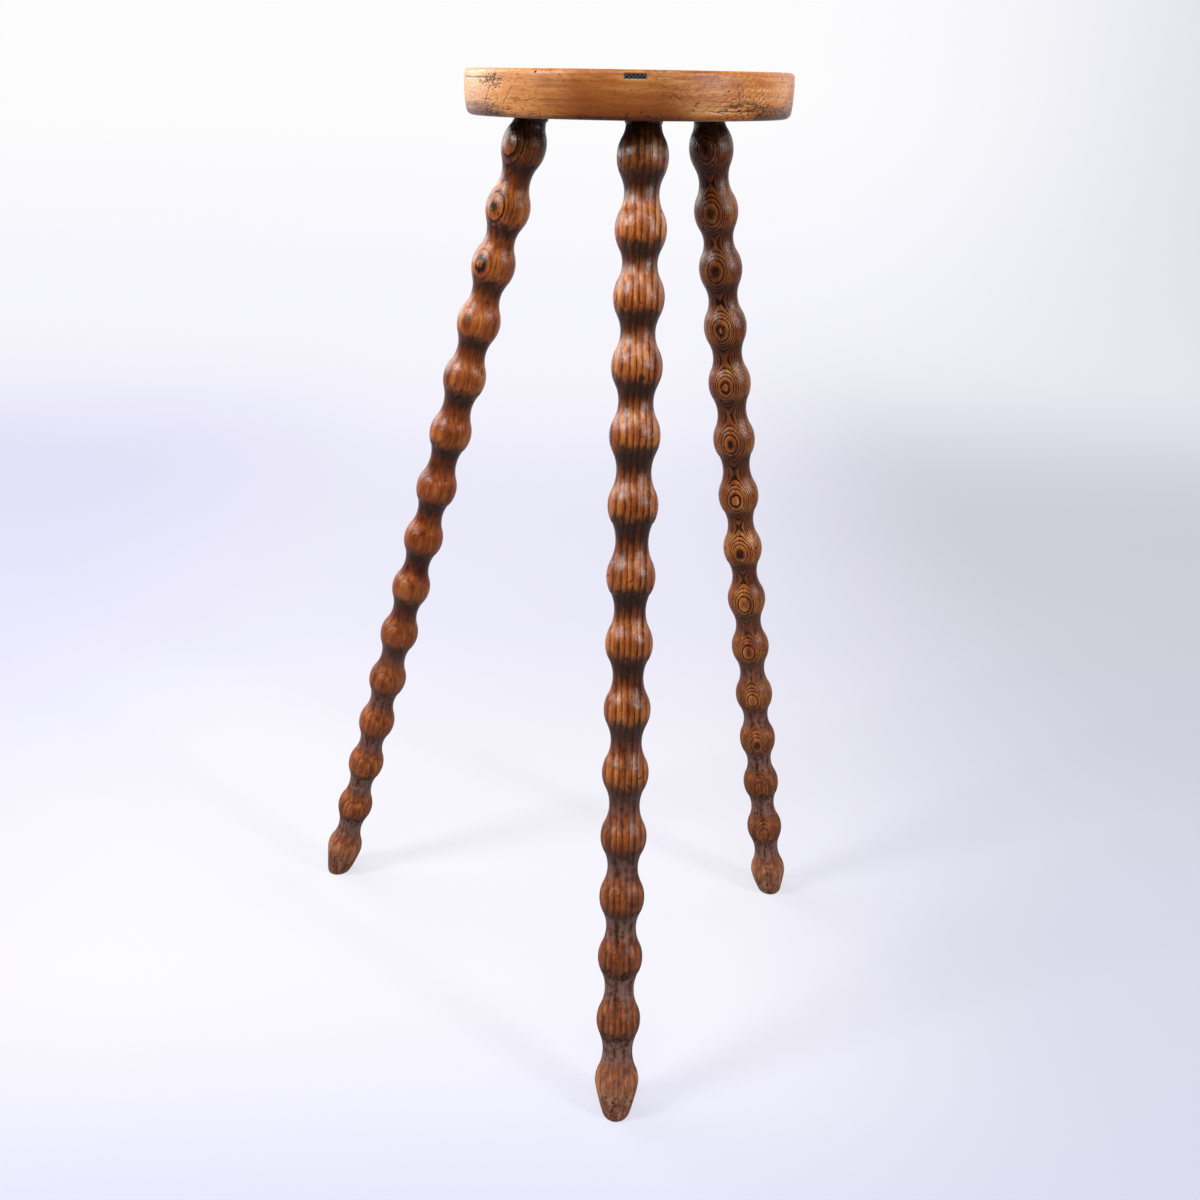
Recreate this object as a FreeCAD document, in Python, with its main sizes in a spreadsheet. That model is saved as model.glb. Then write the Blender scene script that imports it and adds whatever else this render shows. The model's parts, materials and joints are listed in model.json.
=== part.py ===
import FreeCAD, Part
import math
import os
import Sketcher

# Bobbin stool: a thick round seat on three turned legs that splay outwards.
# Millimetres, +Z up, floor at Z 0, origin at the centre of the floor area that the stool covers.

doc = FreeCAD.newDocument("bobbin_stool")
sheet = doc.addObject("Spreadsheet::Sheet", "Sizes")

# Driving sizes. Foot places are taken from the seat's axis; angles are in degrees.
sizes = {
    "seat_diameter": 250,
    "seat_thickness": 32,
    "seat_top_height": 802,
    "seat_belly_height": 21,
    "seat_belly_radius": 110,
    "seat_upper_arris_radius": 2,
    "seat_lower_arris_radius": 5,
    "socket_circle": 164,
    "socket_turn": 7.8,
    "front_foot_across": 8,
    "front_foot_forward": 239,
    "left_foot_across": 298,
    "left_foot_back": 87,
    "right_foot_across": 170,
    "right_foot_back": 72,
    "upper_bead_diameter": 37.4,
    "lower_bead_diameter": 36,
    "upper_neck_diameter": 25.2,
    "lower_neck_diameter": 23.8,
    "bead_length": 25,
    "collar_diameter": 27,
    "collar_height": 2.5,
    "foot_diameter": 23,
    "tenon_diameter": 20,
    "tenon_length": 24,
    "tenon_lead": 1.5,
    "tenon_fit": 0.05,
    "socket_spare": 1,
    "fastener_width": 14,
    "fastener_height": 3.2,
    "fastener_depth": 10,
    "fastener_gauge": 0.9,
    "fastener_drop": 4.2,
    "fastener_turn": 2,
    "fastener_sink": 0.3,
    "fastener_fit": 0.05,
    "overrun": 20,
}
for row, (alias, value) in enumerate(sizes.items(), start=1):
    sheet.set(f"A{row}", alias)
    sheet.set(f"B{row}", str(value))
    sheet.setAlias(f"B{row}", alias)
doc.recompute()

# Bead centres down a leg, as shares of the distance from the seat's underside to the floor.
bead_place_shares = [
    0.032, 0.095, 0.155, 0.218, 0.282, 0.348, 0.417, 0.484,
    0.551, 0.617, 0.685, 0.751, 0.818, 0.889, 0.961,
]
# The first beads are a little fatter than the rest.
upper_bead_count = 6
# The legs were turned by hand, so the rhythm of each, front, right and left, differs by a hair.
rhythm_shares = [1.0, 1.0047, 0.9945]
fastener_wave_count = 5


def size(alias):
    """The value of one named size."""
    return float(sheet.get(alias))


seat_radius = size("seat_diameter") / 2
foot_radius = size("foot_diameter") / 2
underside = size("seat_top_height") - size("seat_thickness")

# Where each leg meets the floor, from the seat's axis.
foot_places = {
    "front": (size("front_foot_across"), -size("front_foot_forward")),
    "right": (size("right_foot_across"), size("right_foot_back")),
    "left": (-size("left_foot_across"), size("left_foot_back")),
}

# The seat's axis stands off the origin, which is at the middle of the floor area in both directions.
seat_axis = FreeCAD.Vector(
    -(foot_places["left"][0] + foot_places["right"][0]) / 2,
    -(foot_places["front"][1] - foot_radius + seat_radius) / 2,
    0,
)

# Each leg's axis, from the seat's underside to the floor. The sockets lie evenly on one circle,
# turned a little from the front.
socket_radius = size("socket_circle") / 2
leg_lines = {}
for step, (name, (across, back)) in enumerate(foot_places.items()):
    angle = math.radians(size("socket_turn") - 90 + step * 360 / len(foot_places))
    top = FreeCAD.Vector(socket_radius * math.cos(angle), socket_radius * math.sin(angle), underside)
    foot = FreeCAD.Vector(across, back, 0)
    leg_lines[name] = (seat_axis + top, seat_axis + foot)

# The legs' lengths follow from those lines, and join the sheet.
for row, (name, (top, foot)) in enumerate(leg_lines.items(), start=len(sizes) + 1):
    sheet.set(f"A{row}", f"{name}_span")
    sheet.set(f"B{row}", str((foot - top).Length))
    sheet.setAlias(f"B{row}", f"{name}_span")
doc.recompute()


def new_sketch(body, name):
    """A sketch on a body's own upright plane: across is X, along is Z."""
    sketch = body.newObject("Sketcher::SketchObject", name)
    plane = [item for item in body.Origin.OriginFeatures if item.Role == "XZ_Plane"][0]
    sketch.AttachmentSupport = [(plane, "")]
    sketch.MapMode = "FlatFace"
    return sketch


def end_near(sketch, edge, point):
    """Which end of an edge lies at a point."""
    target = FreeCAD.Vector(*point, 0)
    first = sketch.getPoint(edge, 1).distanceToPoint(target)
    second = sketch.getPoint(edge, 2).distanceToPoint(target)
    return 1 if first < second else 2


def bow_radius(half, rise):
    """The radius of an arc, as an expression of half its chord and its rise."""
    return f"(({half}) ^ 2 + ({rise}) ^ 2) / (2 * ({rise}))"


def draw_outline(sketch, corners):
    """Draws a closed outline and binds it to the sheet.

    A corner is its two coordinates, their expressions, and for an arc that starts there
    a point on it and the expression of its radius, or None for a straight edge.
    """
    points = [corner[0] for corner in corners]
    shapes = []
    for place, (point, _, curve) in enumerate(corners):
        start = FreeCAD.Vector(*point, 0)
        end = FreeCAD.Vector(*points[(place + 1) % len(points)], 0)
        if curve:
            shapes.append(Part.Arc(start, FreeCAD.Vector(*curve[0], 0), end))
        else:
            shapes.append(Part.LineSegment(start, end))
    edges = list(sketch.addGeometry(shapes, False))

    constraints = []
    expressions = []

    def add(kind, where, expression=None):
        constraints.append(Sketcher.Constraint(kind, *where))
        expressions.append(expression)

    for place, edge in enumerate(edges):
        (across, along), (across_words, along_words), curve = corners[place]
        end = end_near(sketch, edge, (across, along))
        before = edges[place - 1]
        add("Coincident", (before, end_near(sketch, before, (across, along)), edge, end))
        if across == 0:
            add("PointOnObject", (edge, end, -2))
        else:
            add("DistanceX", (-1, 1, edge, end, across), across_words)
        if along == 0:
            add("PointOnObject", (edge, end, -1))
        else:
            add("DistanceY", (-1, 1, edge, end, along), along_words)
        if curve:
            add("Radius", (edge, sketch.Geometry[edge].Radius), curve[1])
    places = sketch.addConstraint(constraints)
    for place, expression in zip(places, expressions):
        if expression:
            sketch.setExpression(f"Constraints[{place}]", expression)


def revolve(body, sketch, name):
    """A full turn of a sketch about its vertical axis."""
    turning = body.newObject("PartDesign::Revolution", name)
    turning.Profile = sketch
    turning.ReferenceAxis = (sketch, ["V_Axis"])
    turning.Angle = 360
    return turning


def arris(end):
    """The arc that rounds the seat's edge over above or below, touching the flat face and the belly.

    Gives where it leaves each of them, a point between, and the words for the first two.
    """
    flat = size("seat_thickness") if end == "upper" else 0
    flat_words = "Sizes.seat_thickness" if end == "upper" else ""
    inward = -1 if end == "upper" else 1
    radius = size(f"seat_{end}_arris_radius")
    radius_words = f"Sizes.seat_{end}_arris_radius"
    bow = size("seat_belly_radius")
    bow_words = "Sizes.seat_belly_radius"
    belly = size("seat_belly_height")
    belly_words = "Sizes.seat_belly_height"

    # Both arcs' centres and the point where they touch lie on one line.
    bow_across = seat_radius - bow
    bow_across_words = f"(Sizes.seat_diameter / 2 - {bow_words})"
    along = flat + inward * radius
    along_words = f"({flat_words or 0} + {inward} * {radius_words})"
    across = bow_across + math.sqrt((bow - radius) ** 2 - (belly - along) ** 2)
    across_words = (f"({bow_across_words} + sqrt(({bow_words} - {radius_words}) ^ 2"
                    f" - ({belly_words} - {along_words}) ^ 2))")
    stretch = bow / (bow - radius)
    stretch_words = f"{bow_words} / ({bow_words} - {radius_words})"
    touch = (bow_across + (across - bow_across) * stretch, belly + (along - belly) * stretch)
    touch_words = (
        f"{bow_across_words} + ({across_words} - {bow_across_words}) * {stretch_words}",
        f"{belly_words} + ({along_words} - {belly_words}) * {stretch_words}",
    )
    turn = (math.atan2(touch[1] - along, touch[0] - across) + math.atan2(-inward, 0)) / 2
    middle = (across + radius * math.cos(turn), along + radius * math.sin(turn))
    return (across, flat), (across_words, flat_words), touch, touch_words, middle, radius_words


# The seat board: a disc whose edge swells a little and is rounded over above and below.
def seat_board():
    body = doc.addObject("PartDesign::Body", "seat_board")
    body.Placement.Base = seat_axis + FreeCAD.Vector(0, 0, underside)
    sketch = new_sketch(body, "seat_outline")
    low_flat, low_flat_words, low_touch, low_touch_words, low_middle, low_radius_words = arris("lower")
    high_flat, high_flat_words, high_touch, high_touch_words, high_middle, high_radius_words = arris("upper")
    draw_outline(sketch, [
        ((0, 0), ("", ""), None),
        (low_flat, low_flat_words, (low_middle, low_radius_words)),
        (low_touch, low_touch_words, ((seat_radius, size("seat_belly_height")), "Sizes.seat_belly_radius")),
        (high_touch, high_touch_words, (high_middle, high_radius_words)),
        (high_flat, high_flat_words, None),
        ((0, size("seat_thickness")), ("", "Sizes.seat_thickness"), None),
    ])
    revolve(body, sketch, "seat_turning")
    return body


# One leg's turning on its own axis, from above the seat's underside to below the floor. Its beads
# and necks are arcs that meet half way between the two radii.
def leg_turning(name):
    top, foot = leg_lines[name]
    body = doc.addObject("PartDesign::Body", f"{name}_turning")
    body.Placement = FreeCAD.Placement(top, FreeCAD.Rotation(FreeCAD.Vector(0, 0, 1), foot - top))
    span = size(f"{name}_span")
    span_words = f"Sizes.{name}_span"
    half_bead = size("bead_length") / 2
    half_bead_words = "Sizes.bead_length / 2"
    rhythm_share = rhythm_shares[list(leg_lines).index(name)]

    # The spare length above the underside, then the square collar that meets the seat.
    collar_height = size("collar_height")
    collar_radius = size("collar_diameter") / 2
    collar_words = "Sizes.collar_diameter / 2"
    neck_radius = size("upper_neck_diameter") / 2
    corners = [
        ((0, -size("overrun")), ("", "-Sizes.overrun"), None),
        ((collar_radius, -size("overrun")), (collar_words, "-Sizes.overrun"), None),
        ((collar_radius, collar_height), (collar_words, "Sizes.collar_height"), None),
    ]

    # Each neck starts where the bead above it ends, and the first one at the collar.
    start = (neck_radius, collar_height)
    start_words = ("Sizes.upper_neck_diameter / 2", "Sizes.collar_height")
    before = collar_height
    before_words = "Sizes.collar_height"
    for bead, share in enumerate(bead_place_shares):
        group = "upper" if bead < upper_bead_count else "lower"
        bead_radius = size(f"{group}_bead_diameter") / 2
        neck_radius = size(f"{group}_neck_diameter") / 2
        spring = (bead_radius + neck_radius) / 2
        spring_words = f"(Sizes.{group}_bead_diameter + Sizes.{group}_neck_diameter) / 4"
        rise_words = f"(Sizes.{group}_bead_diameter - Sizes.{group}_neck_diameter) / 4"
        place = share * rhythm_share * span
        place_words = f"{share * rhythm_share} * {span_words}"
        neck_end = place - half_bead
        neck_end_words = f"{place_words} - {half_bead_words}"
        if bead == 0:
            # The first neck is half of one: it runs level out of the collar.
            run = neck_end - before
            rise = spring - neck_radius
            neck_bow = (run ** 2 + rise ** 2) / (2 * rise)
            half_turn = math.atan2(rise, run)
            middle = (neck_radius + neck_bow * (1 - math.cos(half_turn)),
                      before + neck_bow * math.sin(half_turn))
            half_words = f"{neck_end_words} - {before_words}"
        else:
            middle = (neck_radius, (before + neck_end) / 2)
            half_words = f"({neck_end_words} - ({before_words})) / 2"
        corners.append((start, start_words, (middle, bow_radius(half_words, rise_words))))
        corners.append((
            (spring, neck_end), (spring_words, neck_end_words),
            ((bead_radius, place), bow_radius(half_bead_words, rise_words)),
        ))
        before = place + half_bead
        before_words = f"{place_words} + {half_bead_words}"
        start = (spring, before)
        start_words = (spring_words, before_words)

    # The last bead runs out in a hollow taper to the foot, and on below the floor as spare length.
    run = span - before
    fall = spring - foot_radius
    taper_bow = (run ** 2 + fall ** 2) / (2 * fall)
    half_turn = math.atan2(fall, run)
    middle = (foot_radius + taper_bow * (1 - math.cos(half_turn)), span - taper_bow * math.sin(half_turn))
    taper_words = bow_radius(f"{span_words} - ({before_words})", f"{spring_words} - Sizes.foot_diameter / 2")
    end_words = f"{span_words} + Sizes.overrun"
    corners += [
        (start, start_words, (middle, taper_words)),
        ((foot_radius, span), ("Sizes.foot_diameter / 2", span_words), None),
        ((foot_radius, span + size("overrun")), ("Sizes.foot_diameter / 2", end_words), None),
        ((0, span + size("overrun")), ("", end_words), None),
    ]
    sketch = new_sketch(body, f"{name}_outline")
    draw_outline(sketch, corners)
    revolve(body, sketch, f"{name}_revolution")
    return body


# A corrugated steel fastener: a zigzag strip driven edge-on into the wood. The same zigzag, a
# clearance thicker and deeper, is its slit in the seat, which runs out through the seat's edge.
def zigzag_strip(name, gauge_words, depth_words, half_gauge, outward):
    body = doc.addObject("PartDesign::Body", name)
    turn = FreeCAD.Rotation(FreeCAD.Vector(0, 0, 1), size("fastener_turn"))
    reach = FreeCAD.Vector(0, size("fastener_sink") - seat_radius - outward, 0)
    lift = FreeCAD.Vector(0, 0, size("seat_top_height") - size("fastener_drop"))
    body.Placement = FreeCAD.Placement(seat_axis + turn.multVec(reach) + lift, turn)
    sketch = new_sketch(body, f"{name}_outline")
    swing = (size("fastener_height") - size("fastener_gauge")) / 2
    swing_words = "(Sizes.fastener_height - Sizes.fastener_gauge) / 2"
    fold_count = 2 * fastener_wave_count + 1
    folds = [(fold / (fold_count - 1) - 0.5, 1 if fold % 2 else -1) for fold in range(fold_count)]
    corners = []
    for side, run in ((-1, folds), (1, folds[::-1])):
        for share, way in run:
            corners.append((
                (share * size("fastener_width"), way * swing + side * half_gauge),
                (f"{share} * Sizes.fastener_width", f"{way} * {swing_words} + {side} * ({gauge_words}) / 2"),
                None,
            ))
    draw_outline(sketch, corners)
    pad = body.newObject("PartDesign::Pad", f"{name}_pad")
    pad.Profile = sketch
    pad.setExpression("Length", depth_words)
    pad.Reversed = True
    return body


# The room between the floor and the seat's underside trims each turning at both ends.
reach = max(size("left_foot_across"), size("right_foot_across"), size("front_foot_forward"))
room_half = reach + seat_radius
room = doc.addObject("Part::Box", "room_under_seat")
room.Length = 2 * room_half
room.Width = 2 * room_half
room.setExpression("Height", "Sizes.seat_top_height - Sizes.seat_thickness")
room.Placement.Base = seat_axis - FreeCAD.Vector(room_half, room_half, 0)


def along_leg(name, lift):
    """A placement on a leg's axis that points up the leg, a given way above the underside."""
    top, foot = leg_lines[name]
    upward = (top - foot).normalize()
    return FreeCAD.Placement(top + upward * lift, FreeCAD.Rotation(FreeCAD.Vector(0, 0, 1), upward))


parts = []
cutters = []
for name in foot_places:
    shaft = doc.addObject("Part::Common", f"{name}_shaft")
    shaft.Base = leg_turning(name)
    shaft.Tool = room

    # A round tenon with a small lead, glued in its socket.
    tenon = doc.addObject("Part::Cylinder", f"{name}_tenon")
    tenon.setExpression("Radius", "Sizes.tenon_diameter / 2")
    tenon.setExpression("Height", "Sizes.tenon_length - Sizes.tenon_lead + Sizes.collar_diameter")
    tenon.Placement = along_leg(name, -size("collar_diameter"))
    lead = doc.addObject("Part::Cone", f"{name}_tenon_lead")
    lead.setExpression("Radius1", "Sizes.tenon_diameter / 2")
    lead.setExpression("Radius2", "Sizes.tenon_diameter / 2 - Sizes.tenon_lead")
    lead.setExpression("Height", "Sizes.tenon_lead")
    lead.Placement = along_leg(name, size("tenon_length") - size("tenon_lead"))
    leg = doc.addObject("Part::MultiFuse", f"leg_{name}")
    leg.Shapes = [shaft, tenon, lead]
    parts.append(leg)

    socket = doc.addObject("Part::Cylinder", f"{name}_socket")
    socket.setExpression("Radius", "Sizes.tenon_diameter / 2 + Sizes.tenon_fit")
    socket.setExpression("Height", "Sizes.tenon_length + Sizes.socket_spare + Sizes.overrun")
    socket.Placement = along_leg(name, -size("overrun"))
    cutters.append(socket)

fastener = zigzag_strip(
    "edge_fastener", "Sizes.fastener_gauge", "Sizes.fastener_depth", size("fastener_gauge") / 2, 0)
cutters.append(zigzag_strip(
    "fastener_slit",
    "Sizes.fastener_gauge + 2 * Sizes.fastener_fit",
    "Sizes.fastener_depth + Sizes.fastener_fit + Sizes.overrun",
    size("fastener_gauge") / 2 + size("fastener_fit"),
    size("overrun"),
))

cut_board = seat_board()
for place, cutter in enumerate(cutters, start=1):
    cut = doc.addObject("Part::Cut", "seat" if place == len(cutters) else f"seat_cut_{place}")
    cut.Base = cut_board
    cut.Tool = cutter
    cut_board = cut
parts += [cut_board, fastener]

doc.recompute()
for item in doc.Objects:
    if "Invalid" in item.State or "Error" in item.State:
        raise RuntimeError(f"{item.Label} failed: {item.State}")
for part in parts:
    if part.Shape.isNull() or not part.Shape.isValid() or len(part.Shape.Solids) != 1:
        raise RuntimeError(f"{part.Label} is not one valid solid")
os.makedirs("parts", exist_ok=True)
for part in parts:
    part.Shape.exportStep(f"parts/{part.Label}.step")
    box = part.Shape.optimalBoundingBox()
    print(f"{part.Label}: {part.Shape.Volume / 1000:.1f} cm3, faces {len(part.Shape.Faces)}, "
          f"x {box.XMin:.1f} {box.XMax:.1f}, y {box.YMin:.1f} {box.YMax:.1f}, "
          f"z {box.ZMin:.1f} {box.ZMax:.1f}")
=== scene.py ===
# %% [markdown]
# # A bobbin stool
# A round board stands on three legs that were turned as rows of beads. The CAD solids give every
# size and place. This lesson loads them, then turns finer versions of the legs and the seat as
# meshes, because old wood is all small marks: rings, pits, cracks, worn edges and dark wax.

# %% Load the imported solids
import json
import math

import bpy
import numpy as np
from mathutils import Matrix, Vector, noise


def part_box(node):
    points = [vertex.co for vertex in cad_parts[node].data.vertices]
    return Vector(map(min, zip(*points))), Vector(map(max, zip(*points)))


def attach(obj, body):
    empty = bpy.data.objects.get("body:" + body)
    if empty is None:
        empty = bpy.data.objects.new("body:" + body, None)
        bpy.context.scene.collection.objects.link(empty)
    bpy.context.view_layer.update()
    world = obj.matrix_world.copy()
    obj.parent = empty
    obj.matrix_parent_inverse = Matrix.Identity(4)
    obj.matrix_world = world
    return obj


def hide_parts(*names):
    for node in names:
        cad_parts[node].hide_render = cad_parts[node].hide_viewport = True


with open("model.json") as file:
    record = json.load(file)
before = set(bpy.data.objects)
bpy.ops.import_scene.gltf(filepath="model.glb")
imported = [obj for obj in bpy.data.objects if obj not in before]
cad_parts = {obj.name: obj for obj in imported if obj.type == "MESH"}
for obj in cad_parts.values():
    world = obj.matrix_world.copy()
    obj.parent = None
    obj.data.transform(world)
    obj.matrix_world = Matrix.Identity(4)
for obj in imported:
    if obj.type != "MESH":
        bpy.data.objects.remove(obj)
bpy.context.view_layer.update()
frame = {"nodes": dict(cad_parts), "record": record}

# %% [markdown]
# ## Where things are
# The record names the stool's mounts: the middle of the seat and the three places where it stands.
# A leg is a straight line from its socket to its foot, so those points place all that follows.

# %% Seat, sockets and feet
MM = 0.001
mounts = {mount["name"]: Vector(mount["pos_m"]) for mount in frame["record"]["mounts"]}
seat_low, seat_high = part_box("seat")
seat_middle = (seat_low + seat_high) / 2
seat_radius = (seat_high.x - seat_low.x) / 2
seat_top = seat_high.z
underside = seat_low.z
thickness = seat_top - underside
socket_circle_radius = 82 * MM
socket_angles = {"front": -82.2, "right": 37.8, "left": 157.8}

leg_lines = {}
for name, degrees in socket_angles.items():
    angle = math.radians(degrees)
    socket = Vector((
        seat_middle.x + socket_circle_radius * math.cos(angle),
        seat_middle.y + socket_circle_radius * math.sin(angle),
        underside,
    ))
    leg_lines[name] = (socket, mounts[f"foot_{name}"])
    print(name, "leg:", round((socket - leg_lines[name][1]).length, 4), "m long")

# %% [markdown]
# ## Small tools
# Four helpers serve the materials. One turns a web colour into the linear values that a shader
# wants. One adds a shader node with its settings and links, so that a line of the lesson reads as
# one step of the finish; a mask with a soft_fade has no hard rim. The last two lay coats of colour
# over each other, and wax over wood.

# %% Colours and nodes
def linear(web):
    """A web colour such as #a86432 as linear RGBA."""
    shares = [int(web[place:place + 2], 16) / 255 for place in (1, 3, 5)]
    return (*(s / 12.92 if s <= 0.04045 else ((s + 0.055) / 1.055) ** 2.4 for s in shares), 1)


soft_fade = {"interpolation_type": "SMOOTHSTEP"}


def add(tree, kind, inputs=None, out=0, stops=(), **settings):
    """Adds one shader node and gives back one output of it.

    An input given as another node's output becomes a link. stops are the places and values of a
    ramp, as web colours or as shares of white.
    """
    node = tree.nodes.new("ShaderNode" + kind)
    for name, value in settings.items():
        setattr(node, name, value)
    for name, value in (inputs or {}).items():
        if isinstance(value, bpy.types.NodeSocket):
            tree.links.new(value, node.inputs[name])
        else:
            node.inputs[name].default_value = value
    for order, (position, value) in enumerate(stops):
        row = node.color_ramp.elements
        stop = row[order] if order < 2 else row.new(position)
        stop.position = position
        stop.color = linear(value) if isinstance(value, str) else (value, value, value, 1)
    return node.outputs[out] if node.outputs else node


# %% Coats of a finish
def new_material(name):
    """An empty node material and its tree."""
    material = bpy.data.materials.new(name)
    material.use_nodes = True
    material.node_tree.nodes.clear()
    return material, material.node_tree


def coats(tree, colour, layers):
    """Lays coats of colour over a ground, each through its own mask from 0 to 1."""
    for mask, coat in layers:
        coat = linear(coat) if isinstance(coat, str) else coat
        colour = add(tree, "Mix", {0: mask, 6: colour, 7: coat}, out=2, data_type="RGBA")
    return colour


def wax_over(tree, colour, rough, relief, relief_share, relief_mm, sheen):
    """Closes the colour of a wood under a thin coat of wax, over the relief of its grain."""
    bump = add(tree, "Bump", {"Height": relief, "Strength": relief_share, "Distance": relief_mm * MM})
    shader = add(tree, "BsdfPrincipled", {
        "Base Color": colour, "Roughness": rough, "IOR": 1.5, "Specular IOR Level": sheen, "Normal": bump,
    })
    add(tree, "OutputMaterial", {"Surface": shader})


# %% [markdown]
# Three more serve the shapes. One puts a thing into the scene. One makes a mesh from a grid of
# points that closes on itself, as anything made on a lathe does. One gives slow noise, for the
# unevenness of hand work.

# %% Turned meshes
def stand(name, data):
    """Puts a mesh, a lamp or a camera into the scene."""
    thing = bpy.data.objects.new(name, data)
    bpy.context.scene.collection.objects.link(thing)
    return thing


def turned_mesh(name, grid, marks):
    """A mesh from a grid of rings, closed round each ring and capped at both ends.

    grid is (rings, points round, 3). marks are values for each point, kept as attributes.
    """
    rings, around = grid.shape[:2]
    index = np.arange(rings * around).reshape(rings, around)
    right = np.roll(index, -1, axis=1)
    quads = np.stack([index[:-1], index[1:], right[1:], right[:-1]], axis=-1).reshape(-1, 4)
    faces = quads.tolist() + [index[0].tolist(), index[-1][::-1].tolist()]
    mesh = bpy.data.meshes.new(name)
    mesh.from_pydata(grid.reshape(-1, 3).tolist(), [], faces)
    mesh.polygons.foreach_set("use_smooth", [True] * len(quads) + [False, False])
    for label, values in marks.items():
        kind, field = ("FLOAT_VECTOR", "vector") if values.ndim == 3 else ("FLOAT", "value")
        layer = mesh.attributes.new(label, kind, "POINT")
        layer.data.foreach_set(field, values.astype(np.float32).ravel())
    mesh.validate()
    print(name, "has", len(mesh.vertices), "points and", len(mesh.polygons), "faces")
    return stand(name, mesh)


def soft_noise(points, scale, seed):
    """Smooth noise from about -1 to 1 at each point; scale is the size of its blobs in metres."""
    flat = points.reshape(-1, 3) / scale + seed * 17.3
    values = np.array([noise.noise(Vector(point)) for point in flat])
    return values.reshape(points.shape[:-1])


# %% [markdown]
# ## The turned legs
# A turner makes such a leg from one square stick, cutting beads and necks in turn with a gouge.
# The spacing wanders a little because it was judged by eye. The same places and sizes as in the
# CAD solids are used here, with a finer mesh, so that wear can be pressed into the surface.

# %% The rhythm of the beads
bead_place_shares = [
    0.032, 0.095, 0.155, 0.218, 0.282, 0.348, 0.417, 0.484,
    0.551, 0.617, 0.685, 0.751, 0.818, 0.889, 0.961,
]
bead_girths_mm = [
    36.4, 37.0, 37.0, 37.4, 37.6, 37.6, 36.8, 36.2,
    35.9, 36.2, 36.1, 35.5, 35.5, 35.4, 35.8,
]
neck_girths_mm = [
    25.0, 24.8, 25.2, 25.2, 25.6, 25.8, 24.6, 23.8,
    23.4, 23.9, 23.8, 23.9, 23.7, 23.4, 24.2,
]
rhythm_shares = {"front": 1.0, "left": 0.9945, "right": 1.0047}
girth_shares = {"front": 1.02, "left": 0.99, "right": 0.99}
half_bead = 12.5 * MM
collar_radius = 13.5 * MM
collar_height = 2.5 * MM
foot_radius = 11.5 * MM
print(len(bead_place_shares), "beads on each leg, up to", max(bead_girths_mm), "mm thick")

# %% [markdown]
# Each bead is an arc and each neck is another, and they meet half way between the two radii. A
# flat arc is best given by its half chord and its rise, which is what a turner's callipers give.

# %% A leg's profile
def bow(along, half, rise):
    """How far a flat arc of a given half chord and rise has fallen away from its middle."""
    radius = (half ** 2 + rise ** 2) / (2 * rise)
    return radius - np.sqrt(np.maximum(radius ** 2 - along ** 2, 0))


def leg_radius(name, down, span):
    """The turned radius at distances down a leg, and the place in the rhythm of beads.

    The rhythm is an angle: 0 in the middle of a bead, pi in the middle of the neck below it.
    """
    radius = np.full_like(down, collar_radius)
    rhythm = np.zeros_like(down)
    start = collar_height
    before = -math.pi
    for share, bead_girth, neck_girth in zip(bead_place_shares, bead_girths_mm, neck_girths_mm):
        bead = bead_girth * girth_shares[name] * MM / 2
        neck = neck_girth * girth_shares[name] * MM / 2
        rise = (bead - neck) / 2
        place = share * rhythm_shares[name] * span
        first = start == collar_height
        middle = start if first else (start + place - half_bead) / 2
        half = place - half_bead - middle
        in_neck = (down > start) & (down <= place - half_bead)
        in_bead = (down > place - half_bead) & (down <= place + half_bead)
        radius[in_neck] = neck + bow(down[in_neck] - middle, half, rise)
        radius[in_bead] = bead - bow(down[in_bead] - place, half_bead, rise)
        rhythm[in_neck] = before + (down[in_neck] - start) / (place - half_bead - start) * math.pi
        rhythm[in_bead] = -math.pi / 2 + (down[in_bead] - place + half_bead) / half_bead * math.pi / 2
        start = place + half_bead
        before = -3 * math.pi / 2
    # Below its middle the last bead runs out into the foot, and wear has made it one full barrel.
    taper = down > start
    rhythm[taper] = math.pi / 2 * (1 - (down[taper] - start) / (span - start))
    below = down > place
    share = np.clip((down[below] - place) / (span - place), 0, 1)
    radius[below] = foot_radius + (bead - foot_radius) * (1 - share ** 1.3)
    return radius, rhythm


# %% [markdown]
# Wear is pressed into the grid of points. A dent is a smooth hollow, and a score is a short
# groove. The deeper a mark is, the darker it gets, because wax and dirt stay in it, so each point
# also remembers how scarred it is.

# %% Pressing wear into a surface
def press(depth, scar, across, along, mark):
    """Adds one mark to the depth and scar maps of a surface that is rolled out flat.

    A mark is (across, along, length, width, lean, depth) in metres, with its lean in radians.
    """
    mark_across, mark_along, length, width, lean, fall = mark
    near = (np.abs(across - mark_across) < length + width) & (np.abs(along - mark_along) < length + width)
    if not near.any():
        return
    x = across[near] - mark_across
    y = along[near] - mark_along
    run = x * math.cos(lean) + y * math.sin(lean)
    off = y * math.cos(lean) - x * math.sin(lean)
    beyond = np.maximum(np.abs(run) - length / 2, 0)
    away = np.sqrt(beyond ** 2 + off ** 2) / (width / 2)
    hollow = np.clip(1 - away, 0, 1) ** 2 * (3 - 2 * np.clip(1 - away, 0, 1))
    depth[near] = np.maximum(depth[near], hollow * fall)
    scar[near] = np.maximum(scar[near], hollow * min(1, 0.3 + fall / (0.5 * MM)))


# %% [markdown]
# A leg has dents everywhere, clusters of pits under its lowest beads, where damp rises, and short
# scratches round its foot. Chance places them, but it is the same chance each time, so that the
# stool comes out the same.

# %% Dents, pits and scratches of a leg
dent_count = 130
pits_under_bead = {12: 85, 13: 95, 14: 25}
pits_under_others = 8
foot_scratch_count = 60
rolled_radius = 16 * MM
rolled_girth = 2 * math.pi * rolled_radius


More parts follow.
